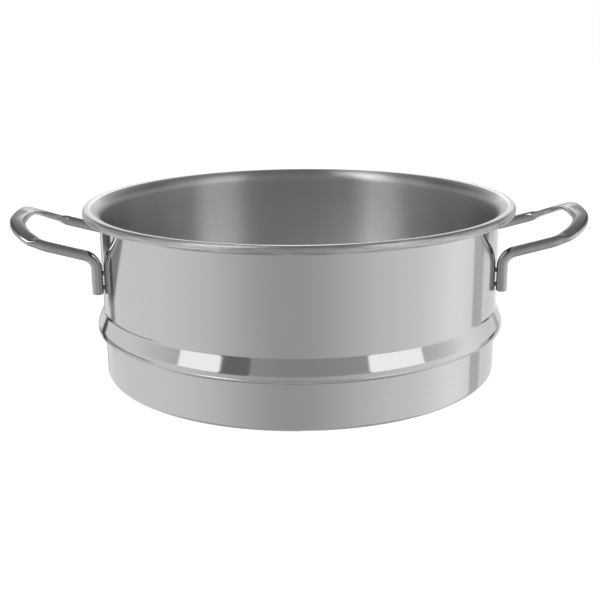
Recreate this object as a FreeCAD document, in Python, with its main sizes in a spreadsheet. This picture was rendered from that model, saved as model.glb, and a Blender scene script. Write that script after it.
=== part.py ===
import FreeCAD, Part
import math
import os
import types

import Sketcher

# Two-handled stepped catering pan. Millimetres, Z up, origin at the middle of the underside.
# The handles lie along X. Each handle is one rod welded to the wall at the feet of its two legs.

doc = FreeCAD.newDocument("stepped_pan")
sheet = doc.addObject("Spreadsheet::Sheet", "sizes")

# Driving dimensions: name, value, meaning
driving_dimensions = [
    ("wall_diameter", 280.0, "outside of the upper wall"),
    ("pan_height", 119.1, "underside of the base to the crest of the rim"),
    ("sheet_thickness", 0.8, "gauge of the drawn sheet"),
    ("base_corner_radius", 3.5, "outside radius where the base turns up into the skirt"),
    ("skirt_step", 0.3, "how much smaller the skirt's radius is than the upper wall's"),
    ("bead_projection", 4.8, "how far the bead stands out from the upper wall"),
    ("bead_height", 35.0, "underside of the base to the bead's widest line"),
    ("bead_nose_radius", 1.8, "outside radius where the bead turns under"),
    ("bead_shoulder_radius", 10.0, "outside radius between the bead's widest line and its upper face"),
    ("bead_cone_angle", 23.0, "slope of the bead's upper face from the vertical"),
    ("bead_under_angle", 22.0, "slope of the bead's lower face from the horizontal"),
    ("bead_top_fillet", 2.0, "radius between the upper wall and the bead"),
    ("bead_under_fillet", 1.5, "radius between the bead and the skirt"),
    ("rim_overhang", 11.0, "upper wall's outside to the lip's outside"),
    ("rim_roll_radius", 2.8, "outside radius where the rim turns down into the lip"),
    ("rim_depth", 5.6, "crest of the rim to the bottom of the hem"),
    ("hem_radius", 1.6, "outside radius of the hem curled under the lip"),
    ("rod_diameter", 7.4, "round rod of the handles"),
    ("leg_spacing", 85.0, "distance between the two legs of a handle"),
    ("leg_gap", 0.5, "gap between a leg and the wall, bridged by the welds"),
    ("leg_end_height", 62.2, "underside of the base to a leg's cut end"),
    ("bend_radius", 10.0, "centreline radius where a leg turns outwards"),
    ("handle_height", 87.6, "where the sloping leg's centreline would meet the upright one"),
    ("handle_slope", 14.0, "rise of the legs from the horizontal"),
    ("grip_reach", 57.2, "upright leg's centreline to the grip's centreline"),
    ("grip_corner_radius", 25.5, "centreline radius between leg and grip, seen from above"),
    ("grip_arch", 9.0, "how far the grip's middle rises above the plane of the legs"),
    ("grip_tilt", 16.0, "slope across the pressed grip at its middle, outer edge up"),
    ("grip_droop", 33.0, "slope across the pressed rod at the legs, outer edge down"),
    ("grip_width", 10.8, "width of the pressed grip"),
    ("grip_thickness", 4.6, "thickness of the pressed grip"),
    ("press_lead", 3.0, "length of leg before the corner where the pressing starts"),
    ("press_turn", 38.0, "how far round the corner the pressing is complete"),
    ("weld_diameter", 4.0, "weld nugget"),
    ("weld_offset", 4.5, "leg's cut end to the lower nugget's centre"),
    ("weld_pitch", 10.0, "lower nugget to upper nugget"),
]


class Size(float):
    """A number that also carries the sheet expression it is worked out from."""

    def __new__(cls, value, text):
        size = super().__new__(cls, value)
        size.text = text
        return size

    def __add__(self, other):
        return combine(self, "+", other, float(self) + float(other))

    def __radd__(self, other):
        return combine(other, "+", self, float(other) + float(self))

    def __sub__(self, other):
        return combine(self, "-", other, float(self) - float(other))

    def __rsub__(self, other):
        return combine(other, "-", self, float(other) - float(self))

    def __mul__(self, other):
        return combine(self, "*", other, float(self) * float(other))

    def __rmul__(self, other):
        return combine(other, "*", self, float(other) * float(self))

    def __truediv__(self, other):
        return combine(self, "/", other, float(self) / float(other))

    def __neg__(self):
        return 0.0 - self


def text_of(number):
    return number.text if isinstance(number, Size) else "({})".format(float(number))


def combine(left, sign, right, value):
    return Size(value, "({} {} {})".format(text_of(left), sign, text_of(right)))


def sine(angle):
    return Size(math.sin(math.radians(angle)), "sin({})".format(text_of(angle)))


def cosine(angle):
    return Size(math.cos(math.radians(angle)), "cos({})".format(text_of(angle)))


def tangent(angle):
    return Size(math.tan(math.radians(angle)), "tan({})".format(text_of(angle)))


def arctangent(slope):
    return Size(math.degrees(math.atan(slope)), "(atan({}) / 1 deg)".format(text_of(slope)))


def root(square):
    return Size(math.sqrt(square), "sqrt({})".format(text_of(square)))


def fill_sheet():
    sizes = types.SimpleNamespace()
    for row, (name, value, meaning) in enumerate(driving_dimensions, start=1):
        sheet.set("A{}".format(row), name)
        sheet.set("B{}".format(row), str(value))
        sheet.set("C{}".format(row), meaning)
        sheet.setAlias("B{}".format(row), name)
        setattr(sizes, name, Size(value, "sizes." + name))
    doc.recompute()
    return sizes


size = fill_sheet()

# Places that more than one piece works from
wall_radius = size.wall_diameter / 2
leg_radius = wall_radius + size.leg_gap + size.rod_diameter / 2
half_span = size.leg_spacing / 2
leg_x = root(leg_radius * leg_radius - half_span * half_span)


def bind(thing, **sizes):
    """Tie each named property of an object to a size."""
    for name, value in sizes.items():
        thing.setExpression(name, text_of(value))


def place(thing, x, y, z, *turns):
    """Tie an object's placement to a point and a chain of (axis, angle) turns."""
    point = "vector({}; {}; {})".format(text_of(x), text_of(y), text_of(z))
    chain = ["rotation(vector({}; {}; {}); {})".format(*axis, text_of(angle)) for axis, angle in turns]
    thing.setExpression("Placement", "placement({}; {})".format(point, " * ".join(chain)))


axis_x = (1, 0, 0)
axis_y = (0, 1, 0)
axis_z = (0, 0, 1)
diagonal = (1, 1, 1)
upright_turn = (axis_x, 90.0)
no_turn = (axis_z, 0.0)


class TangentChain:
    """A sketched line of straights and arcs, each tangent to the one before it."""

    def __init__(self, name):
        self.sketch = doc.addObject("Sketcher::SketchObject", name)
        self.last = None

    def straight(self, x0, y0, x1, y1):
        line = Part.LineSegment(FreeCAD.Vector(x0, y0, 0), FreeCAD.Vector(x1, y1, 0))
        return self.join(self.sketch.addGeometry(line, False), 1, 2)

    def arc(self, x, y, radius, first_angle, last_angle):
        """An arc about (x, y), clockwise where last_angle is the smaller."""
        low, high = sorted((math.radians(first_angle), math.radians(last_angle)))
        circle = Part.Circle(FreeCAD.Vector(x, y, 0), FreeCAD.Vector(0, 0, 1), float(radius))
        index = self.sketch.addGeometry(Part.ArcOfCircle(circle, low, high), False)
        clockwise = last_angle < first_angle
        self.join(index, 2 if clockwise else 1, 1 if clockwise else 2)
        self.fix("Radius", index, value=radius)
        return index

    def join(self, index, first_point, last_point):
        if self.last is not None:
            self.relate("Tangent", *self.last, index, first_point)
        self.last = (index, last_point)
        return index

    def relate(self, kind, *elements):
        self.sketch.addConstraint(Sketcher.Constraint(kind, *elements))

    def fix(self, kind, *elements, value):
        index = self.sketch.addConstraint(Sketcher.Constraint(kind, *elements, float(value)))
        self.sketch.setExpression("Constraints[{}]".format(index), text_of(value))


origin_point = (-1, 1)
upright_axis = -2
first_end, last_end, arc_centre = 1, 2, 3


# Pan: the outside line of the sheet, from the middle of the base to the end of the hem,
# thickened to the gauge, turned about Z and parted where the skirt meets the bead

skirt_radius = wall_radius - size.skirt_step


def bead_underside():
    """First and last point of the bead's straight lower face."""
    under = size.bead_under_angle
    nose_x = wall_radius + size.bead_projection - size.bead_nose_radius
    start_x = skirt_radius + size.bead_under_fillet * (1 - sine(under))
    end_x = nose_x + size.bead_nose_radius * sine(under)
    end_y = size.bead_height - size.bead_nose_radius * cosine(under)
    return start_x, end_y - (end_x - start_x) * tangent(under), end_x, end_y


def skirt_top():
    """Height where the upright skirt starts to turn out under the bead."""
    start_y = bead_underside()[1]
    return start_y - size.bead_under_fillet * cosine(size.bead_under_angle)


def pan_line():
    gauge = size.sheet_thickness
    corner = size.base_corner_radius
    nose = size.bead_nose_radius
    nose_x = wall_radius + size.bead_projection - nose
    nose_y = size.bead_height
    shoulder = size.bead_shoulder_radius
    shoulder_x = wall_radius + size.bead_projection - shoulder
    cone = size.bead_cone_angle
    under = size.bead_under_angle
    crest = size.pan_height - gauge
    flare = size.rim_overhang - size.rim_roll_radius
    roll = size.rim_roll_radius - gauge
    lip_x = wall_radius + size.rim_overhang - gauge
    hem = size.hem_radius - gauge
    hem_y = size.pan_height - size.rim_depth + size.hem_radius

    under_fillet_y = skirt_top()
    cone_start_x = shoulder_x + shoulder * cosine(cone)
    cone_start_y = nose_y + shoulder * sine(cone)
    cone_end_x = wall_radius + size.bead_top_fillet * (1 - cosine(cone))
    cone_end_y = cone_start_y + (cone_start_x - cone_end_x) / tangent(cone)
    top_fillet_x = wall_radius + size.bead_top_fillet
    top_fillet_y = cone_end_y + size.bead_top_fillet * sine(cone)

    chain = TangentChain("pan_line")
    base = chain.straight(0, 0, skirt_radius - corner, 0)
    chain.arc(skirt_radius - corner, corner, corner, -90, 0)
    skirt = chain.straight(skirt_radius, corner, skirt_radius, under_fillet_y)
    under_fillet = size.bead_under_fillet
    chain.arc(skirt_radius + under_fillet, under_fillet_y, under_fillet, 180, 90 + under)
    underside = chain.straight(*bead_underside())
    bead_nose = chain.arc(nose_x, nose_y, nose, under - 90, 0)
    bead_shoulder = chain.arc(shoulder_x, nose_y, shoulder, 0, cone)
    bead_cone = chain.straight(cone_start_x, cone_start_y, cone_end_x, cone_end_y)
    chain.arc(top_fillet_x, top_fillet_y, size.bead_top_fillet, 180 + cone, 180)
    wall = chain.straight(wall_radius, top_fillet_y, wall_radius, crest - flare)
    rim_flare = chain.arc(wall_radius + flare, crest - flare, flare, 180, 90)
    chain.arc(lip_x - roll, crest - roll, roll, 90, 0)
    lip = chain.straight(lip_x, crest - roll, lip_x, hem_y)
    lip_hem = chain.arc(lip_x - hem, hem_y, hem, 360, 180)

    chain.relate("Coincident", base, first_end, *origin_point)
    chain.relate("Horizontal", base)
    for upright in (skirt, wall, lip):
        chain.relate("Vertical", upright)
    chain.fix("DistanceX", *origin_point, skirt, first_end, value=skirt_radius)
    chain.fix("Angle", underside, value=under)
    chain.fix("DistanceX", *origin_point, bead_nose, arc_centre, value=nose_x)
    chain.fix("DistanceY", *origin_point, bead_nose, arc_centre, value=nose_y)
    chain.relate("Horizontal", bead_nose, arc_centre, bead_shoulder, arc_centre)
    chain.fix("Angle", bead_cone, value=90 + cone)
    chain.fix("DistanceX", *origin_point, wall, first_end, value=wall_radius)
    chain.fix("DistanceY", *origin_point, rim_flare, first_end, value=crest)
    chain.fix("DistanceX", *origin_point, lip, first_end, value=lip_x)
    chain.fix("DistanceY", *origin_point, lip, last_end, value=hem_y)
    chain.relate("Horizontal", lip_hem, first_end, lip_hem, last_end)
    place(chain.sketch, 0, 0, 0, upright_turn)
    return chain.sketch


def pan_pieces():
    band = doc.addObject("Part::Offset2D", "pan_section")
    band.Source = pan_line()
    band.Mode = "Skin"
    band.Join = "Arc"
    band.Fill = True
    bind(band, Value=size.sheet_thickness)
    drawn = doc.addObject("Part::Revolution", "drawn_sheet")
    drawn.Source = band
    drawn.Axis = FreeCAD.Vector(0, 0, 1)
    drawn.Angle = 360.0
    drawn.Solid = True

    below = doc.addObject("Part::Cylinder", "below_bead")
    bind(below, Radius=wall_radius + size.rim_overhang, Height=skirt_top() + size.sheet_thickness)
    place(below, 0, 0, -size.sheet_thickness, no_turn)
    base = doc.addObject("Part::Common", "pan_base")
    wall = doc.addObject("Part::Cut", "pan_wall")
    base.Base = wall.Base = drawn
    base.Tool = wall.Tool = below
    return [base, wall]


# Handle: two round legs and a grip pressed flat, arched and tilted, on the +X side

def leg_run():
    """Length of level leg from its upright part to where the pressing starts."""
    return size.grip_reach - size.grip_corner_radius - size.press_lead


def handle_leg(end, y):
    turn = 90.0 - size.handle_slope
    bend = size.bend_radius
    bend_y = size.handle_height - bend * tangent(turn / 2)
    slope_x = bend * (1 - cosine(turn))
    slope_y = bend_y + bend * sine(turn)
    run = leg_run()
    chain = TangentChain(end + "_leg_line")
    upright = chain.straight(0, size.leg_end_height, 0, bend_y)
    leg_bend = chain.arc(bend, bend_y, bend, 180, 90 + size.handle_slope)
    sloping = chain.straight(slope_x, slope_y, run, slope_y + (run - slope_x) * tangent(size.handle_slope))
    chain.relate("PointOnObject", upright, first_end, upright_axis)
    chain.relate("Vertical", upright)
    chain.fix("DistanceY", *origin_point, upright, first_end, value=size.leg_end_height)
    chain.fix("DistanceY", *origin_point, leg_bend, arc_centre, value=bend_y)
    chain.fix("Angle", sloping, value=size.handle_slope)
    chain.fix("DistanceX", *origin_point, sloping, last_end, value=run)
    place(chain.sketch, leg_x, y, 0, upright_turn)

    section = doc.addObject("Part::Circle", end + "_leg_section")
    bind(section, Radius=size.rod_diameter / 2)
    place(section, leg_x, y, size.leg_end_height, no_turn)
    leg = doc.addObject("Part::Sweep", end + "_leg")
    leg.Sections = [section]
    leg.Spine = (chain.sketch, ["Edge1", "Edge2", "Edge3"])
    leg.Solid = True
    return leg


def grip_section(number, run, y, heading, pressed):
    """An ellipse across the grip, level distance run out from the upright leg.

    The grip's height is the legs' slope plus an arch that is a parabola between the legs. Its
    section stands square to the centreline, banked in proportion to how far the rod is pressed.
    """
    across = y / half_span
    arch = size.grip_arch * (1 - across * across)
    fall = 2 * size.grip_arch * across / half_span
    height = size.handle_height + run * tangent(size.handle_slope) + arch
    rise = arctangent(tangent(size.handle_slope) * cosine(heading) - fall * sine(heading))
    bank = pressed * (size.grip_tilt * sine(heading) + size.grip_droop * across * cosine(heading))
    rod = size.rod_diameter / 2
    section = doc.addObject("Part::Ellipse", "grip_section_{}".format(number))
    bind(section, MajorRadius=rod + pressed * (size.grip_width / 2 - rod))
    bind(section, MinorRadius=rod + pressed * (size.grip_thickness / 2 - rod))
    turns = [(axis_z, heading), (axis_y, -rise), (axis_x, -bank), (diagonal, 120.0)]
    place(section, leg_x + run, y, height, *turns)
    return section


def half_pressed():
    """Share of the pressing that is done half-way round to its full depth, on a smooth step."""
    arc_per_degree = size.grip_corner_radius * (math.pi / 180)
    done = size.press_lead + arc_per_degree * size.press_turn / 2
    share = done / (size.press_lead + arc_per_degree * size.press_turn)
    return share * share * (3 - 2 * share)


def handle_grip():
    corner = size.grip_corner_radius
    full = size.press_turn
    corner_stations = [(full / 2, half_pressed()), (full, 1.0), ((full + 90) / 2, 1.0), (90.0, 1.0)]
    stations = [(leg_run(), -half_span, 0.0, 0.0)]
    for heading, pressed in corner_stations:
        run = size.grip_reach - corner * (1 - sine(heading))
        stations.append((run, corner * (1 - cosine(heading)) - half_span, heading, pressed))
    far_stations = []
    for run, y, heading, pressed in reversed(stations):
        far_stations.append((run, -y, 180.0 - heading, pressed))
    stations.append((size.grip_reach, 0.0 * half_span, 90.0, 1.0))
    grip = doc.addObject("Part::Loft", "grip")
    numbered = enumerate(stations + far_stations)
    grip.Sections = [grip_section(number, *station) for number, station in numbered]
    grip.Solid = True
    return grip


def handles():
    right = doc.addObject("Part::MultiFuse", "right_handle")
    right.Shapes = [handle_leg("front", -half_span), handle_grip(), handle_leg("rear", half_span)]
    left = doc.addObject("Part::Mirroring", "left_handle")
    left.Source = right
    left.Normal = FreeCAD.Vector(1, 0, 0)
    return [right, left]


# Weld nuggets: short radial studs that fill the gap between the wall and a leg

def welds():
    wall_core = doc.addObject("Part::Cylinder", "wall_core")
    bind(wall_core, Radius=wall_radius, Height=size.pan_height)
    bearing = arctangent(half_span / leg_x)
    lower = size.leg_end_height + size.weld_offset
    levels = {"lower": lower, "upper": lower + size.weld_pitch}
    legs = {
        "right_front": (leg_x, -half_span, -bearing),
        "right_rear": (leg_x, half_span, bearing),
        "left_front": (-leg_x, -half_span, 180.0 + bearing),
        "left_rear": (-leg_x, half_span, 180.0 - bearing),
    }
    nuggets = []
    for leg, (x, y, direction) in legs.items():
        leg_core = doc.addObject("Part::Cylinder", leg + "_core")
        bind(leg_core, Radius=size.rod_diameter / 2, Height=size.pan_height)
        place(leg_core, x, y, 0, no_turn)
        for level, height in levels.items():
            nuggets.append(weld("weld_{}_{}".format(leg, level), direction, height, wall_core, leg_core))
    return nuggets


def weld(name, direction, height, wall_core, leg_core):
    stud = doc.addObject("Part::Cylinder", name + "_stud")
    bind(stud, Radius=size.weld_diameter / 2, Height=leg_radius)
    place(stud, 0, 0, height, (axis_z, direction), (axis_y, 90.0))
    outside = doc.addObject("Part::Cut", name + "_outside")
    outside.Base = stud
    outside.Tool = wall_core
    nugget = doc.addObject("Part::Cut", name)
    nugget.Base = outside
    nugget.Tool = leg_core
    return nugget


def check(pieces):
    for thing in doc.Objects:
        if "Invalid" in thing.State or "Error" in thing.State:
            raise RuntimeError("{} failed: {}".format(thing.Name, thing.State))
    for piece in pieces:
        if piece.Shape.isNull() or not piece.Shape.isValid():
            raise RuntimeError("{} has no valid shape".format(piece.Label))
        if len(piece.Shape.Solids) != 1:
            raise RuntimeError("{} is {} solids".format(piece.Label, len(piece.Shape.Solids)))


pieces = [*pan_pieces(), *handles(), *welds()]
doc.recompute()
check(pieces)
os.makedirs("parts", exist_ok=True)
for piece in pieces:
    piece.Shape.exportStep("parts/{}.step".format(piece.Label))
    box = piece.Shape.BoundBox
    print("{}: {:.1f} mm3, {:.1f} x {:.1f} x {:.1f} mm".format(
        piece.Label, piece.Shape.Volume, box.XLength, box.YLength, box.ZLength))
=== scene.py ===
from math import cos, pi, radians, sin, sqrt, tan

import bpy
import numpy as np
from mathutils import Matrix, Vector


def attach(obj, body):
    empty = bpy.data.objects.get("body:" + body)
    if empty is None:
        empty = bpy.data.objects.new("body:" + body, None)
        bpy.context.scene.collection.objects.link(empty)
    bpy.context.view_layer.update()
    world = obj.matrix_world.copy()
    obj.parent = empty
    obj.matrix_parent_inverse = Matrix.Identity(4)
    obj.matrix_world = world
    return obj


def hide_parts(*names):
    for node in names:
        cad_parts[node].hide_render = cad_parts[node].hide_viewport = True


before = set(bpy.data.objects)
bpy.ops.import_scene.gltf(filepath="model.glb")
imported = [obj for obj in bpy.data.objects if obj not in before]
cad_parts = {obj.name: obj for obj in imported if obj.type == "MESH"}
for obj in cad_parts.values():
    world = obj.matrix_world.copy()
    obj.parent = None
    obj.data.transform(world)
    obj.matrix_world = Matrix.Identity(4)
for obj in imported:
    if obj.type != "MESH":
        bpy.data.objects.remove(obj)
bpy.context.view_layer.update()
mm = 0.001
print("frame loaded:", len(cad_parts), "nodes")


class Wire:
    # one output socket of a node tree; + - and * on it add Math nodes
    def __init__(self, tree, socket=None):
        self.tree = tree
        self.socket = socket

    def node(self, kind, settings, inputs, output=0):
        new = self.tree.nodes.new("ShaderNode" + kind)
        for name, value in settings.items():
            setattr(new, name, value)
        for name, value in inputs.items():
            if isinstance(value, Wire):
                self.tree.links.new(value.socket, new.inputs[name])
            else:
                new.inputs[name].default_value = value
        return Wire(self.tree, new.outputs[output])

    def math(self, operation, *terms):
        return self.node("Math", {"operation": operation}, dict(enumerate(terms)))

    def __add__(self, other):
        return self.math("ADD", self, other)

    def __radd__(self, other):
        return self.math("ADD", other, self)

    def __sub__(self, other):
        return self.math("SUBTRACT", self, other)

    def __rsub__(self, other):
        return self.math("SUBTRACT", other, self)

    def __mul__(self, other):
        return self.math("MULTIPLY", self, other)

    def __rmul__(self, other):
        return self.math("MULTIPLY", other, self)

    def rise(self, low, high):  # 0 below low, 1 above high, smooth between
        settings = {"interpolation_type": "SMOOTHSTEP"}
        return self.node("MapRange", settings, {"Value": self, "From Min": low, "From Max": high})

    def window(self, low, high, soft):  # 1 from low to high, with soft edges
        return self.rise(low - soft, low + soft) * (1 - self.rise(high - soft, high + soft))

    def bell(self, centre, width):  # exp(-((value - centre) / width) squared)
        offset = (self - centre) * (1 / width)
        return self.math("EXPONENT", offset * offset * -1)

    def split(self):
        separate = self.node("SeparateXYZ", {}, {0: self})
        return [Wire(self.tree, socket) for socket in separate.socket.node.outputs]

    def vector(self, x, y, z):
        return self.node("CombineXYZ", {}, {0: x, 1: y, 2: z})

    def noise(self, vector, detail, roughness):
        inputs = {"Vector": vector, "Scale": 1.0, "Detail": detail, "Roughness": roughness}
        return self.node("TexNoise", {}, inputs)

    def grey(self, tone):
        return self.node("CombineColor", {}, {0: tone, 1: tone, 2: tone})


# Camera: the photograph's place and tilt
shot = {
    "place": (0.15 * mm, -715.2 * mm, 247.3 * mm),
    "tiltDown": 15.81,  # degrees under the horizontal
    "roll": -0.493,  # degrees, the picture's slight lean
    "lens": 61.18, "sensor": 36,  # mm
}


def addCamera():
    tilt = radians(shot["tiltDown"])
    roll = radians(shot["roll"])
    ahead = Vector((0, cos(tilt), -sin(tilt)))
    right = Vector((1, 0, 0))
    above = Vector((0, sin(tilt), cos(tilt)))
    across = cos(roll) * right + sin(roll) * above
    upward = cos(roll) * above - sin(roll) * right
    data = bpy.data.cameras.new("photoCamera")
    data.lens = shot["lens"]
    data.sensor_width = shot["sensor"]
    camera = bpy.data.objects.new("photoCamera", data)
    turn = Matrix((across, upward, -ahead)).transposed()
    camera.matrix_world = Matrix.Translation(shot["place"]) @ turn.to_4x4()
    bpy.context.scene.collection.objects.link(camera)
    bpy.context.scene.camera = camera


addCamera()
print("camera placed")

# Studio: tones by bearing (degrees from the camera, + to the right) and by height above the horizon
studio = {
    "side": 0.80, "frontDip": 0.38, "frontAt": -5, "frontWidth": 45,  # low surround, darkest in front
    "glow": 0.20, "glowAt": 98, "glowWidth": 20,  # brighter right side
    "screenTop": 13, "screenSoft": 5,  # where the pale screens end
    "ceiling": 0.42, "ceilingLess": 0.10, "ceilingWidth": 38,  # ceiling, darkest in front
    "sideMore": 0.20, "sideAt": 82, "sideWidth": 20,  # and lighter at both sides
    "zenith": 0.20, "zenithFrom": 34, "zenithTo": 58,
}
# Patches on it, each over the ones before: shade, bearings and their soft edge, heights and their blur,
# the bearing's lean per degree of height, and a twin on the other side
patches = [
    dict(shade=0.45, bearings=(-200, 200), soft=1, heights=(-100, -48), blur=10),  # table under the object
    dict(shade=0.12, bearings=(96, 152), soft=6, heights=(17, 72), blur=4, twin=True),  # dark ceiling
    dict(shade=0.52, bearings=(-200, -157), soft=3, heights=(-100, 0), blur=2),  # backdrop, left
    dict(shade=0.88, bearings=(157, 200), soft=3, heights=(-100, 0), blur=2),  # backdrop, right
    dict(shade=0.55, bearings=(157, 200), soft=3, heights=(-8, 4), blur=2),
    dict(shade=0.78, bearings=(158, 200), soft=3, heights=(0, 17), blur=4, twin=True),  # pale band over it
    dict(shade=1.50, bearings=(171, 200), soft=2, heights=(12.5, 17), blur=1.5, twin=True),  # lamp behind
    dict(shade=1.30, bearings=(176.5, 200), soft=1.5, heights=(14, 38), blur=3, twin=True),  # its upper part
    dict(shade=0.57, bearings=(115, 127.5), soft=1.5, heights=(-100, -4), blur=1),  # slot between screens
    dict(shade=0.50, bearings=(122, 145), soft=2, heights=(-12, -4.5), blur=1),
    dict(shade=0.14, bearings=(125, 134), soft=1.5, heights=(-12.5, -4), blur=1),
    dict(shade=0.36, bearings=(-140, -86), soft=6, heights=(-11, -3.5), blur=1),  # edge of the left table
    dict(shade=0.27, bearings=(-68, -54.5), soft=1.2, heights=(-15.5, -10), blur=0.5, lean=5),  # corner
    dict(shade=0.08, bearings=(-142, -133), soft=1.2, heights=(-15.6, -3.2), blur=0.5),
    dict(shade=0.12, bearings=(-151, -140), soft=1.5, heights=(-13, -9.5), blur=0.7),
    dict(shade=0.30, bearings=(-141, -133), soft=1.5, heights=(-18, -15.4), blur=0.6),
    dict(shade=0.18, bearings=(-44, -28), soft=0.6, heights=(10, 60), blur=2),  # black flag
    dict(shade=1.25, bearings=(-70, -45), soft=0.6, heights=(13, 40), blur=1),  # left softbox
    dict(shade=3.60, bearings=(-70, -45), soft=0.6, heights=(40, 75), blur=4),  # its hot top
    dict(shade=1.25, bearings=(38.5, 71), soft=0.6, heights=(13, 52), blur=1),  # right softbox
]


def paintPatch(tone, bearing, height, shade, bearings, soft, heights, blur, lean=0, twin=False):
    # tone + (shade - tone) where the bearing and the height are both inside the patch
    place = bearing - height * lean if lean else bearing
    spans = [bearings, (-bearings[1], -bearings[0])] if twin else [bearings]
    for span in spans:
        tone = tone + (shade - tone) * place.window(*span, soft) * height.window(*heights, blur)
    return tone


def buildWorld():
    world = bpy.data.worlds.new("studio")
    world.use_nodes = True
    bpy.context.scene.world = world
    tree = world.node_tree
    start = Wire(tree)
    x, y, z = start.node("TexCoord", {}, {}, "Generated").split()
    bearing = start.math("DEGREES", start.math("ARCTAN2", x, y * -1))
    height = start.math("DEGREES", start.math("ARCSINE", z))
    low = studio["side"] - studio["frontDip"] * bearing.bell(studio["frontAt"], studio["frontWidth"])
    low = low + studio["glow"] * bearing.bell(studio["glowAt"], studio["glowWidth"])
    sideAt = studio["sideAt"]
    sides = bearing.bell(sideAt, studio["sideWidth"]) + bearing.bell(-sideAt, studio["sideWidth"])
    high = studio["ceiling"] - studio["ceilingLess"] * bearing.bell(0, studio["ceilingWidth"])
    high = high + studio["sideMore"] * sides
    high = high + (studio["zenith"] - high) * height.rise(studio["zenithFrom"], studio["zenithTo"])
    edge = studio["screenTop"]
    tone = low + (high - low) * height.rise(edge - studio["screenSoft"], edge + studio["screenSoft"])
    for patch in patches:
        tone = paintPatch(tone, bearing, height, **patch)
    seen = start.node("LightPath", {}, {}, "Is Camera Ray")  # the camera sees plain white
    background = tree.nodes["Background"]
    tree.links.new(start.grey(tone + (1 - tone) * seen).socket, background.inputs["Color"])


buildWorld()
print("studio lit")


def addGrid(name, rings, poles, slots, materials, along=None):
    # rings: rows x columns x 3, each row a closed loop; a pole point closes each end with a fan
    rows, columns = rings.shape[:2]
    points = np.concatenate([rings.reshape(-1, 3), poles])
    here = np.arange(rows * columns).reshape(rows, columns)
    beside = np.roll(here, -1, axis=1)
    quads = np.stack([here[:-1], beside[:-1], beside[1:], here[1:]], -1).reshape(-1, 4)
    first = np.stack([np.full(columns, rows * columns), beside[0], here[0]], -1)
    last = np.stack([np.full(columns, rows * columns + 1), here[-1], beside[-1]], -1)
    fans = np.concatenate([first, last])
    triangles = np.concatenate([quads[:, [0, 1, 2]], quads[:, [0, 2, 3]], fans])
    a, b, c = (points[triangles[:, i]] for i in range(3))
    if np.einsum("ij,ij->i", a, np.cross(b, c)).sum() < 0:  # six times the volume, below 0 if inside out
        quads = quads[:, ::-1]
        fans = fans[:, ::-1]
    mesh = bpy.data.meshes.new(name)
    corners = np.concatenate([quads.ravel(), fans.ravel()])
    starts = np.concatenate([np.arange(len(quads)) * 4, quads.size + np.arange(len(fans)) * 3])
    mesh.vertices.add(len(points))
    mesh.vertices.foreach_set("co", (points * mm).ravel())
    mesh.loops.add(len(corners))
    mesh.loops.foreach_set("vertex_index", corners)
    mesh.polygons.add(len(starts))
    mesh.polygons.foreach_set("loop_start", starts)
    mesh.polygons.foreach_set("use_smooth", np.ones(len(starts), bool))
    faceSlots = np.concatenate([np.repeat(slots, columns), np.repeat([slots[0], slots[-1]], columns)])
    mesh.polygons.foreach_set("material_index", faceSlots)
    mesh.update(calc_edges=True)
    if along is not None:  # three numbers a point, kept for patterns that follow the piece
        layer = mesh.attributes.new("run", "FLOAT_VECTOR", "POINT")
        runs = np.concatenate([along.reshape(-1, 3), along[0, :1], along[-1, :1]])
        layer.data.foreach_set("vector", runs.ravel())
    mesh.validate()
    for material in materials:
        mesh.materials.append(material)
    piece = bpy.data.objects.new(name, mesh)
    bpy.context.scene.collection.objects.link(piece)
    return piece


def newSteel(name, fixed):  # fixed: sockets with one value all over
    material = bpy.data.materials.new(name)
    material.use_nodes = True
    surface = material.node_tree.nodes["Principled BSDF"]
    surface.inputs["Metallic"].default_value = 1.0
    for socket, value in fixed.items():
        surface.inputs[socket].default_value = value
    return material, Wire(material.node_tree), surface


def feed(surface, socket, wire):
    wire.tree.links.new(wire.socket, surface.inputs[socket])


def bump(wire, height, depth):  # depth in mm
    return wire.node("Bump", {}, {"Strength": 1.0, "Distance": depth * mm, "Height": height})


def pieceSpot(wire):  # x, y and z on the piece, in metres
    return wire.node("TexCoord", {}, {}, "Object").split()


def fromAxis(x, y):  # distance from Z
    return x.math("SQRT", x * x + y * y)


def ringNoise(wire, around, across, slant, detail, roughness):
    # noise by x and y times around and by (height + slant * radius) times across, so that it draws rings
    # about Z where across is much the larger
    x, y, z = pieceSpot(wire)
    place = wire.vector(x * around, y * around, (z + fromAxis(x, y) * slant) * across)
    return wire.noise(place, detail, roughness)


# Pan: one drawn sheet turned about Z, as lines and tangent arcs (mm, degrees)
pan = {
    "wall": 140.0, "skirt": 139.7, "height": 119.1, "sheet": 0.8, "corner": 3.5,  # the first two are radii
    "beadOut": 4.8, "beadHeight": 35.0, "nose": 1.8, "shoulder": 10.0,  # locating bead
    "cone": 23.0, "coneFillet": 6.0, "under": 22.0, "underFillet": 1.5,  # its slopes, above and under
    "rim": 11.0, "roll": 2.8, "rimDepth": 5.6, "hem": 1.6,  # flared rim and rolled hem
    "buffFrom": 4.5, "lipFrom": 25.0,  # buffed this far off the wall, brushed these degrees past the crest
    "columns": 288, "crowd": 11,  # faces round it, and points on each straight run
    "grey": 0.655,  # how much the sheet reflects
}


def crestRadius():  # where the flare turns over
    return pan["wall"] + pan["rim"] - pan["roll"]


# Pan's finishes: a noise, which keeps about 0.5, has around, across, slant, detail and roughness; tones are
# shares of the sheet's grey, and depths and places are in mm
polish = {
    "tone": 1.0, "rough": 0.05, "depth": 0.0012,
    "rings": (6, 900, -1, 3, 0.6), "ringTone": 0.03, "ringRough": 0.02,
    "wipes": (22, 22, 1, 3, 0.55), "wipeFrom": 0.45, "wipeTo": 0.80, "wipeRough": 0.05,
}


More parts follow.
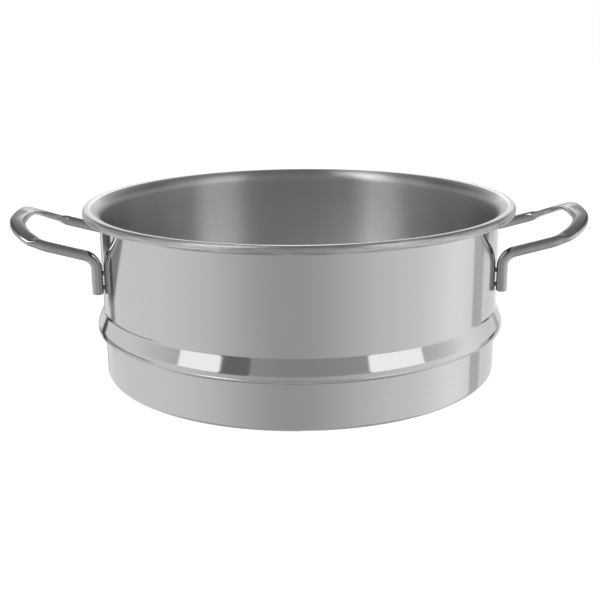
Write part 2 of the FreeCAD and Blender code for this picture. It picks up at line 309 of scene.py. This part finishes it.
def mirrorSteel():  # polished outside, with faint drawing rings and wiped patches
    material, wire, surface = newSteel("polishedOutside", {})
    rings = ringNoise(wire, *polish["rings"])
    wiped = ringNoise(wire, *polish["wipes"]).rise(polish["wipeFrom"], polish["wipeTo"])
    rough = polish["rough"] + polish["wipeRough"] * wiped + polish["ringRough"] * rings
    tone = polish["tone"] + polish["ringTone"] * (rings - 0.5)
    feed(surface, "Roughness", rough)
    feed(surface, "Base Color", wire.grey(pan["grey"] * tone))
    feed(surface, "Normal", bump(wire, rings, polish["depth"]))
    return material


brushing = {
    "tone": 0.52, "rough": 0.36, "depth": 0.02,
    "grain": {"Anisotropic": 0.85, "Anisotropic Rotation": 0.25},
    "fine": (10, 2600, -1, 2, 0.6), "fineTone": 0.30, "fineRough": 0.16, "fineDepth": 0.6,
    "coarse": (45, 1200, -1, 3, 0.65), "coarseTone": 0.40, "coarseRough": 0.10, "coarseDepth": 0.4,
    "streakFrom": 0.36, "streakTo": 0.64,
}


def lipSteel():  # rim, brushed along its turn
    material, wire, surface = newSteel("brushedRim", brushing["grain"])
    fine = ringNoise(wire, *brushing["fine"])
    coarse = ringNoise(wire, *brushing["coarse"])
    streaks = coarse.rise(brushing["streakFrom"], brushing["streakTo"])
    rough = brushing["rough"] + brushing["fineRough"] * (fine - 0.5) + brushing["coarseRough"] * coarse
    tone = brushing["tone"] + brushing["fineTone"] * fine + brushing["coarseTone"] * streaks
    relief = fine * brushing["fineDepth"] + coarse * brushing["coarseDepth"]
    feed(surface, "Roughness", rough)
    feed(surface, "Base Color", wire.grey(pan["grey"] * tone))
    feed(surface, "Normal", bump(wire, relief, brushing["depth"]))
    return material


satin = {
    "tone": 0.80, "rough": 0.33, "depth": 0.006,
    "grain": {"Anisotropic": 1.0, "Anisotropic Rotation": 0.25},
    "fine": (7, 2200, 1, 2, 0.6), "fineTone": 0.12, "fineRough": 0.10,
    "broad": (5, 160, 1, 2, 0.5), "broadTone": 0.06, "broadRough": 0.06,
    "paintedDepthLight": 0.34, "deepFrom": 112.0, "deepTo": 45.0,  # painted light, the satin brighter lower down
}


def insideSteel():  # satin inside, turned on a lathe with an abrasive
    material, wire, surface = newSteel("satinInside", satin["grain"])
    fine = ringNoise(wire, *satin["fine"])
    broad = ringNoise(wire, *satin["broad"])
    # painted light: 1 low in the pan and 0 near the top, brightening the lower satin
    deep = 1 - pieceSpot(wire)[2].rise(satin["deepTo"] * mm, satin["deepFrom"] * mm)
    rough = satin["rough"] + satin["fineRough"] * (fine - 0.5) + satin["broadRough"] * (broad - 0.5)
    tone = satin["tone"] + satin["fineTone"] * fine + satin["broadTone"] * broad + satin["paintedDepthLight"] * deep
    feed(surface, "Roughness", rough)
    feed(surface, "Base Color", wire.grey(pan["grey"] * tone))
    feed(surface, "Normal", bump(wire, fine, satin["depth"]))
    return material


buffingAndCrestHighlight = {
    "tone": 0.94, "rough": 0.15,
    "rings": (8, 1500, -1, 2, 0.6), "ringTone": 0.12, "ringRough": 0.08,
    "crestPaintedHighlight": 0.40, "crestFrom": 3.2, "crestTo": 2.0,  # painted highlight that grows this far inside the crest
}


def flareSteel():  # flare inside the rim, buffed, with a painted highlight on its crest
    material, wire, surface = newSteel("buffedFlareCrestHighlight", {})
    x, y = pieceSpot(wire)[:2]
    highlightFrom = crestRadius() - buffingAndCrestHighlight["crestFrom"]
    highlightTo = crestRadius() - buffingAndCrestHighlight["crestTo"]
    # painted highlight: 0 further in, 1 near the crest, brightening the base colour there
    crest = fromAxis(x, y).rise(highlightFrom * mm, highlightTo * mm)
    rings = ringNoise(wire, *buffingAndCrestHighlight["rings"])
    tone = buffingAndCrestHighlight["tone"] + buffingAndCrestHighlight["ringTone"] * rings + buffingAndCrestHighlight["crestPaintedHighlight"] * crest
    feed(surface, "Roughness", buffingAndCrestHighlight["rough"] + buffingAndCrestHighlight["ringRough"] * rings)
    feed(surface, "Base Color", wire.grey(pan["grey"] * tone))
    return material


def panArcs():
    # (centre radius, centre height, arc radius, from angle, to angle, steps) up the sheet's outside line
    cone = radians(pan["cone"])
    under = radians(pan["under"])
    noseR = pan["wall"] + pan["beadOut"] - pan["nose"]
    noseZ = pan["beadHeight"]
    underR = pan["skirt"] + pan["underFillet"]
    noseUnder = (noseR + pan["nose"] * sin(under), noseZ - pan["nose"] * cos(under))
    meetR = underR - pan["underFillet"] * sin(under)
    underZ = noseUnder[1] - (noseUnder[0] - meetR) * tan(under) - pan["underFillet"] * cos(under)
    shoulderR = pan["wall"] + pan["beadOut"] - pan["shoulder"]
    coneFoot = (shoulderR + pan["shoulder"] * cos(cone), noseZ + pan["shoulder"] * sin(cone))
    coneR = pan["wall"] + pan["coneFillet"]
    leaveR = coneR - pan["coneFillet"] * cos(cone)
    coneZ = coneFoot[1] + (coneFoot[0] - leaveR) / tan(cone) + pan["coneFillet"] * sin(cone)
    rollR = crestRadius()
    flare = rollR - pan["wall"]
    hemR = pan["wall"] + pan["rim"] - pan["hem"]
    hemZ = pan["height"] - pan["rimDepth"] + pan["hem"]
    return [
        (pan["skirt"] - pan["corner"], pan["corner"], pan["corner"], -90, 0, 10),
        (underR, underZ, pan["underFillet"], 180, 90 + pan["under"], 8),
        (noseR, noseZ, pan["nose"], pan["under"] - 90, 0, 12),
        (shoulderR, noseZ, pan["shoulder"], 0, pan["cone"], 12),
        (coneR, coneZ, pan["coneFillet"], 180 + pan["cone"], 180, 12),
        (rollR, pan["height"] - pan["sheet"] - flare, flare, 180, 90, 22),
        (rollR, pan["height"] - pan["roll"], pan["roll"] - pan["sheet"], 90, 0, 16),
        (hemR, hemZ, pan["hem"] - pan["sheet"], 0, -180, 14),
    ]


def panLine(offset):
    # the outside line moved left by offset: arcs grow or shrink, and straight runs with points crowded
    # towards their ends join them, so that shading stays true beside each arc
    crowd = (1 - np.cos(np.linspace(0, pi, pan["crowd"]))) / 2
    touching = 0.01  # mm, no run between arcs this close
    spans = []
    last = np.array([0.0, offset])
    for centreR, centreZ, radius, start, end, steps in panArcs():
        angle = np.radians(np.linspace(start, end, steps))
        reach = radius - np.sign(end - start) * offset
        arc = np.stack([centreR + reach * np.cos(angle), centreZ + reach * np.sin(angle)], -1)
        if np.hypot(*(arc[0] - last)) > touching:
            run = last + crowd[:, None] * (arc[0] - last)
            spans.append(run[1:-1])
        spans.append(arc)
        last = arc[-1]
    return np.concatenate(spans)


def buildPan():
    # the outside line up, the inside line back down, and both turned about Z
    outside = panLine(0.0)
    inside = panLine(pan["sheet"])
    materials = [mirrorSteel(), lipSteel(), insideSteel(), flareSteel()]
    outsideSlot, lipSlot, insideSlot, flareSlot = range(len(materials))
    high = inside[:, 1] > pan["height"] / 2
    flared = high & (inside[:, 0] > pan["wall"] + pan["buffFrom"])
    lipStart = crestRadius() + pan["roll"] * sin(radians(pan["lipFrom"]))
    lip = np.maximum.accumulate(high & (inside[:, 0] > lipStart))
    insideSlots = np.select([lip, flared], [lipSlot, flareSlot], insideSlot)
    line = np.concatenate([outside, inside[::-1]])
    slots = np.concatenate([np.full(len(outside), outsideSlot), insideSlots[::-1]])
    turn = np.linspace(0, 2 * pi, pan["columns"], endpoint=False)
    rings = np.stack([
        line[:, 0, None] * np.cos(turn), line[:, 0, None] * np.sin(turn),
        np.broadcast_to(line[:, 1, None], (len(line), len(turn))),
    ], -1)
    poles = [[0, 0, 0], [0, 0, pan["sheet"]]]
    piece = addGrid("drawnPan", rings, poles, slots[1:], materials)
    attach(piece, "root")
    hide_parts("pan_base", "pan_wall")
    return piece


drawnPan = buildPan()
print("pan turned:", len(drawnPan.data.polygons), "faces")

# Handles: a round rod bent up from the wall, its grip pressed flat, arched and banked (mm, degrees)
handle = {
    "rod": 3.7, "spacing": 85.0, "gap": 0.5,  # radius, legs apart, and legs off the wall
    "foot": 62.2, "footRound": 0.8, "bend": 10.0,  # cut end's height and edge, and bend over the leg
    "rise": 87.6, "slope": 14.0, "reach": 57.2, "corner": 25.5, "arch": 9.0,  # arms, corners, grip's bow
    "tilt": 16.0, "droop": 24.0,  # bank at the grip's middle and, the other way, at the arms
    "halfWidth": 5.4, "halfThick": 2.3, "square": 1.1,  # pressed section
    "pressFrom": 4.5, "pressTo": 13.0,  # along the rod from the corner's start
    "around": 72, "steps": {"tip": 7, "upright": 24, "bend": 30, "run": 40, "corner": 80, "grip": 36},
}


def handlePath():
    # half of the rod's middle line, from the foot to the grip's middle: up the leg, round the bend, then at
    # rise + tan(slope) * u + arch * (1 - (v / half) squared) along the arm, round the corner and over the
    # grip; gives places, headings, climbs, bank angles and the share pressed flat
    steps = handle["steps"]
    half = handle["spacing"] / 2
    legX = sqrt((pan["wall"] + handle["gap"] + handle["rod"]) ** 2 - half ** 2)
    slope = radians(handle["slope"])
    turn = pi / 2 - slope  # the bend's turn, from upright to the slope
    startU = handle["bend"] * (1 - cos(turn))
    bendZ = handle["rise"] + tan(slope) * startU - handle["bend"] * sin(turn)

    upright = np.linspace(handle["foot"] + handle["footRound"], bendZ, steps["upright"])[:-1]
    bendTurn = np.linspace(0, turn, steps["bend"])
    cornerU = handle["reach"] - handle["corner"]
    run = np.linspace(startU, cornerU, steps["run"])[1:-1]
    psi = np.linspace(0, pi / 2, steps["corner"])  # heading round the corner
    grip = np.linspace(-half + handle["corner"], 0, steps["grip"])[1:]

    cornerStart = len(upright) + len(bendTurn) + len(run)
    u = np.concatenate([0 * upright, handle["bend"] * (1 - np.cos(bendTurn)), run,
                        cornerU + handle["corner"] * np.sin(psi), 0 * grip + handle["reach"]])
    v = np.concatenate([np.full(cornerStart, -half), -half + handle["corner"] * (1 - np.cos(psi)), grip])
    heading = np.concatenate([np.zeros(cornerStart), psi, 0 * grip + pi / 2])
    z = handle["rise"] + tan(slope) * u + handle["arch"] * (1 - (v / half) ** 2)
    climb = np.arctan(tan(slope) * np.cos(heading) - 2 * handle["arch"] * v / half ** 2 * np.sin(heading))
    z[:len(upright)] = upright
    climb[:len(upright)] = pi / 2
    bent = slice(len(upright), len(upright) + len(bendTurn))
    z[bent] = bendZ + handle["bend"] * np.sin(bendTurn)
    climb[bent] = pi / 2 - bendTurn

    cornerRun = handle["corner"] * psi
    travel = np.concatenate([u[:cornerStart] - cornerU, cornerRun, cornerRun[-1] + grip - grip[0]])
    pressed = np.clip((travel - handle["pressFrom"]) / (handle["pressTo"] - handle["pressFrom"]), 0, 1)
    pressed = pressed ** 3 * (10 - 15 * pressed + 6 * pressed ** 2)  # smooth step, level at both ends
    banked = handle["tilt"] * np.sin(heading) + handle["droop"] * v / half * np.cos(heading)
    bank = np.radians(banked) * pressed
    places = np.stack([legX + u, v, z], -1)
    return places, heading, climb, bank, pressed


def rodSection(pressed, turns):
    # (|x| / width) ** n + (|y| / thickness) ** n = 1, round where n is 2 and squarer where pressed
    width = handle["rod"] + (handle["halfWidth"] - handle["rod"]) * pressed
    thick = handle["rod"] + (handle["halfThick"] - handle["rod"]) * pressed
    power = 2 / (2 + handle["square"] * pressed)
    side = np.sign(np.cos(turns)) * np.abs(np.cos(turns)) ** power[:, None] * width[:, None]
    face = np.sign(np.sin(turns)) * np.abs(np.sin(turns)) ** power[:, None] * thick[:, None]
    return side, face


def handleRings():
    # the section carried along the path on its outward and upper sides, then mirrored for the other half
    places, heading, climb, bank, pressed = handlePath()
    turns = np.linspace(0, 2 * pi, handle["around"], endpoint=False)
    side, face = rodSection(pressed, turns)
    level = np.cos(climb)
    ahead = np.stack([level * np.cos(heading), level * np.sin(heading), np.sin(climb)], -1)
    outward = np.stack([np.sin(heading), -np.cos(heading), 0 * heading], -1)
    upper = np.cross(outward, ahead)
    swing = bank[:, None]
    outer = np.cos(swing) * outward + np.sin(swing) * upper
    upper = np.cos(swing) * upper - np.sin(swing) * outward
    rings = places[:, None] + side[..., None] * outer[:, None] + face[..., None] * upper[:, None]
    tip = np.linspace(0, pi / 2, handle["steps"]["tip"])[:-1]  # the cut end's rounded edge
    shrink = 1 - handle["footRound"] * (1 - np.sin(tip)) / handle["rod"]
    foot = places[0] + shrink[:, None, None] * (rings[0] - places[0])
    foot[..., 2] = (handle["foot"] + handle["footRound"] * (1 - np.cos(tip)))[:, None]
    near = np.concatenate([foot, rings])
    far = near[-2::-1] * [1, -1, 1]  # the other half, mirrored across y = 0
    return np.concatenate([near, far])


rodPolish = {  # scratch and cloud are noises, given by detail and roughness
    "grey": 0.51, "rough": 0.10, "depth": 0.008,
    "along": 40, "around": 900, "scratch": (3, 0.6), "scratchTone": 0.14, "scratchRough": 0.10,
    "cloudSize": 120, "cloudSlice": 3.0, "cloud": (2, 0.5), "cloudRough": 0.05,
}


def handleSteel():  # polished rod, with fine scratches along its length
    material, wire, surface = newSteel("polishedRod", {})
    length, girth = wire.node("Attribute", {"attribute_name": "run"}, {}, "Vector").split()[:2]
    scratchPlace = wire.vector(length * rodPolish["along"], girth * rodPolish["around"], 0.0)
    scratch = wire.noise(scratchPlace, *rodPolish["scratch"])
    size = rodPolish["cloudSize"]
    cloudPlace = wire.vector(length * size, girth * size, rodPolish["cloudSlice"])
    cloud = wire.noise(cloudPlace, *rodPolish["cloud"])
    rough = rodPolish["rough"] + rodPolish["scratchRough"] * scratch + rodPolish["cloudRough"] * cloud
    tone = 1 + rodPolish["scratchTone"] * (scratch - 0.5)
    feed(surface, "Roughness", rough)
    feed(surface, "Base Color", wire.grey(rodPolish["grey"] * tone))
    feed(surface, "Normal", bump(wire, scratch, rodPolish["depth"]))
    return material


def buildHandles():
    rings = handleRings()
    middle = rings.mean(axis=1)
    length = np.concatenate([[0], np.cumsum(np.linalg.norm(np.diff(middle, axis=0), axis=1))])
    turnShare = np.linspace(-1, 1, handle["around"], endpoint=False)
    girth = turnShare ** 2 * 2 * pi * handle["rod"]  # squared, so that both ends of the turn meet
    run = np.stack(np.broadcast_arrays(length[:, None] * mm, girth * mm, 0.0), -1)
    slots = np.zeros(len(rings) - 1, int)
    steel = handleSteel()
    for name, sign in (("right_handle", 1), ("left_handle", -1)):
        rod = rings * [sign, 1, 1]
        poles = [rod[0].mean(axis=0), rod[-1].mean(axis=0)]
        piece = addGrid(name.replace("_handle", "HandleRod"), rod, poles, slots, [steel], run)
        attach(piece, "root")
        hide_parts(name)
    print("handles bent:", len(rings), "sections each")


buildHandles()

# Welds: nuggets squeezed out between each leg and the wall (mm)
weld = {
    "radius": 2.0, "flare": 0.35,  # at its ends, and how much they stand out from its waist
    "sinkShare": 0.6, "into": 0.5,  # of the sheet's thickness, and mm into the rod
    "offset": 4.5, "pitch": 10.0, "around": 40, "rows": 14,
}
weldSkin = {  # grain is a noise, given by detail and roughness
    "tone": 0.18, "rough": 0.40, "depth": 0.12,
    "size": 1500.0, "grain": (3, 0.6), "grainTone": 0.20, "grainRough": 0.25,
}


def weldSteel():  # dull heat-stained nugget
    material, wire, surface = newSteel("weldNugget", {})
    place = wire.node("TexCoord", {}, {}, "Object")
    grainPlace = wire.node("VectorMath", {"operation": "SCALE"}, {0: place, "Scale": weldSkin["size"]})
    grain = wire.noise(grainPlace, *weldSkin["grain"])
    feed(surface, "Roughness", weldSkin["rough"] + weldSkin["grainRough"] * grain)
    feed(surface, "Base Color", wire.grey(weldSkin["tone"] + weldSkin["grainTone"] * grain))
    feed(surface, "Normal", bump(wire, grain, weldSkin["depth"]))
    return material


def buildWelds():
    # a spool along the wall's outward line: its radius goes with 1 + flare * s squared, s from -1 in the
    # wall to 1 in the leg
    legR = pan["wall"] + handle["gap"] + handle["rod"]
    bearing = np.arcsin(handle["spacing"] / 2 / legR)
    share = np.linspace(-1, 1, weld["rows"])
    turn = np.linspace(0, 2 * pi, weld["around"], endpoint=False)
    start = pan["wall"] - weld["sinkShare"] * pan["sheet"]
    rodDip = handle["rod"] - sqrt(handle["rod"] ** 2 - weld["radius"] ** 2)
    end = pan["wall"] + handle["gap"] + weld["into"] + rodDip
    reach = (start + end) / 2 + share * (end - start) / 2
    radius = weld["radius"] * (1 + weld["flare"] * share ** 2) / (1 + weld["flare"])
    slots = np.zeros(weld["rows"] - 1, int)
    upward = np.array([0, 0, 1])
    steel = weldSteel()
    for sideName, sideSign in (("right", 1), ("left", -1)):
        for endName, endSign in (("front", -1), ("rear", 1)):
            out = np.array([sideSign * np.cos(bearing), endSign * np.sin(bearing), 0])
            level = np.array([-out[1], out[0], 0])
            for levelName, lift in (("lower", 0), ("upper", weld["pitch"])):
                height = handle["foot"] + weld["offset"] + lift
                rings = (reach[:, None, None] * out
                         + (radius[:, None] * np.cos(turn))[..., None] * level
                         + (radius[:, None] * np.sin(turn) + height)[..., None] * upward)
                poles = [start * out + height * upward, end * out + height * upward]
                name = f"weld_{sideName}_{endName}_{levelName}"
                nugget = name.replace("_", ".")
                piece = addGrid(nugget, rings, poles, slots, [steel])
                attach(piece, "root")
                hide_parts(name)
    print("welds placed")


buildWelds()

# Floor: pale, white to the camera, with the object's faint shadow; metal sees the studio through it
ground = {"half": 4.0, "drop": 0.05, "ownLight": 0.76, "pale": 0.80}  # half in metres, drop in mm


def buildFloor():
    # one square, a little under the pan so that the two never share a plane
    corners = np.array([[-1, -1, 0], [1, -1, 0], [1, 1, 0], [-1, 1, 0]]) * ground["half"]
    corners[:, 2] = -ground["drop"] * mm
    mesh = bpy.data.meshes.new("floor")
    mesh.from_pydata(corners.tolist(), [], [(0, 1, 2, 3)])
    floor = bpy.data.objects.new("floor", mesh)
    bpy.context.scene.collection.objects.link(floor)
    material = bpy.data.materials.new("paleFloor")
    material.use_nodes = True
    tree = material.node_tree
    tree.nodes.remove(tree.nodes["Principled BSDF"])
    wire = Wire(tree)
    pale = (ground["pale"],) * 3 + (1,)
    diffuse = wire.node("BsdfDiffuse", {}, {"Color": pale})
    glow = wire.node("Emission", {}, {"Strength": ground["ownLight"]})
    plain = wire.node("AddShader", {}, {0: diffuse, 1: glow})
    clear = wire.node("BsdfTransparent", {}, {})
    path = wire.node("LightPath", {}, {}, "Is Glossy Ray")
    both = wire.node("MixShader", {}, {0: path, 1: plain, 2: clear})
    tree.links.new(both.socket, tree.nodes["Material Output"].inputs["Surface"])
    mesh.materials.append(material)
    floor.visible_shadow = False  # light from under it still reaches the pan


buildFloor()
print("floor laid")

bpy.context.scene.view_settings.view_transform = "Standard"
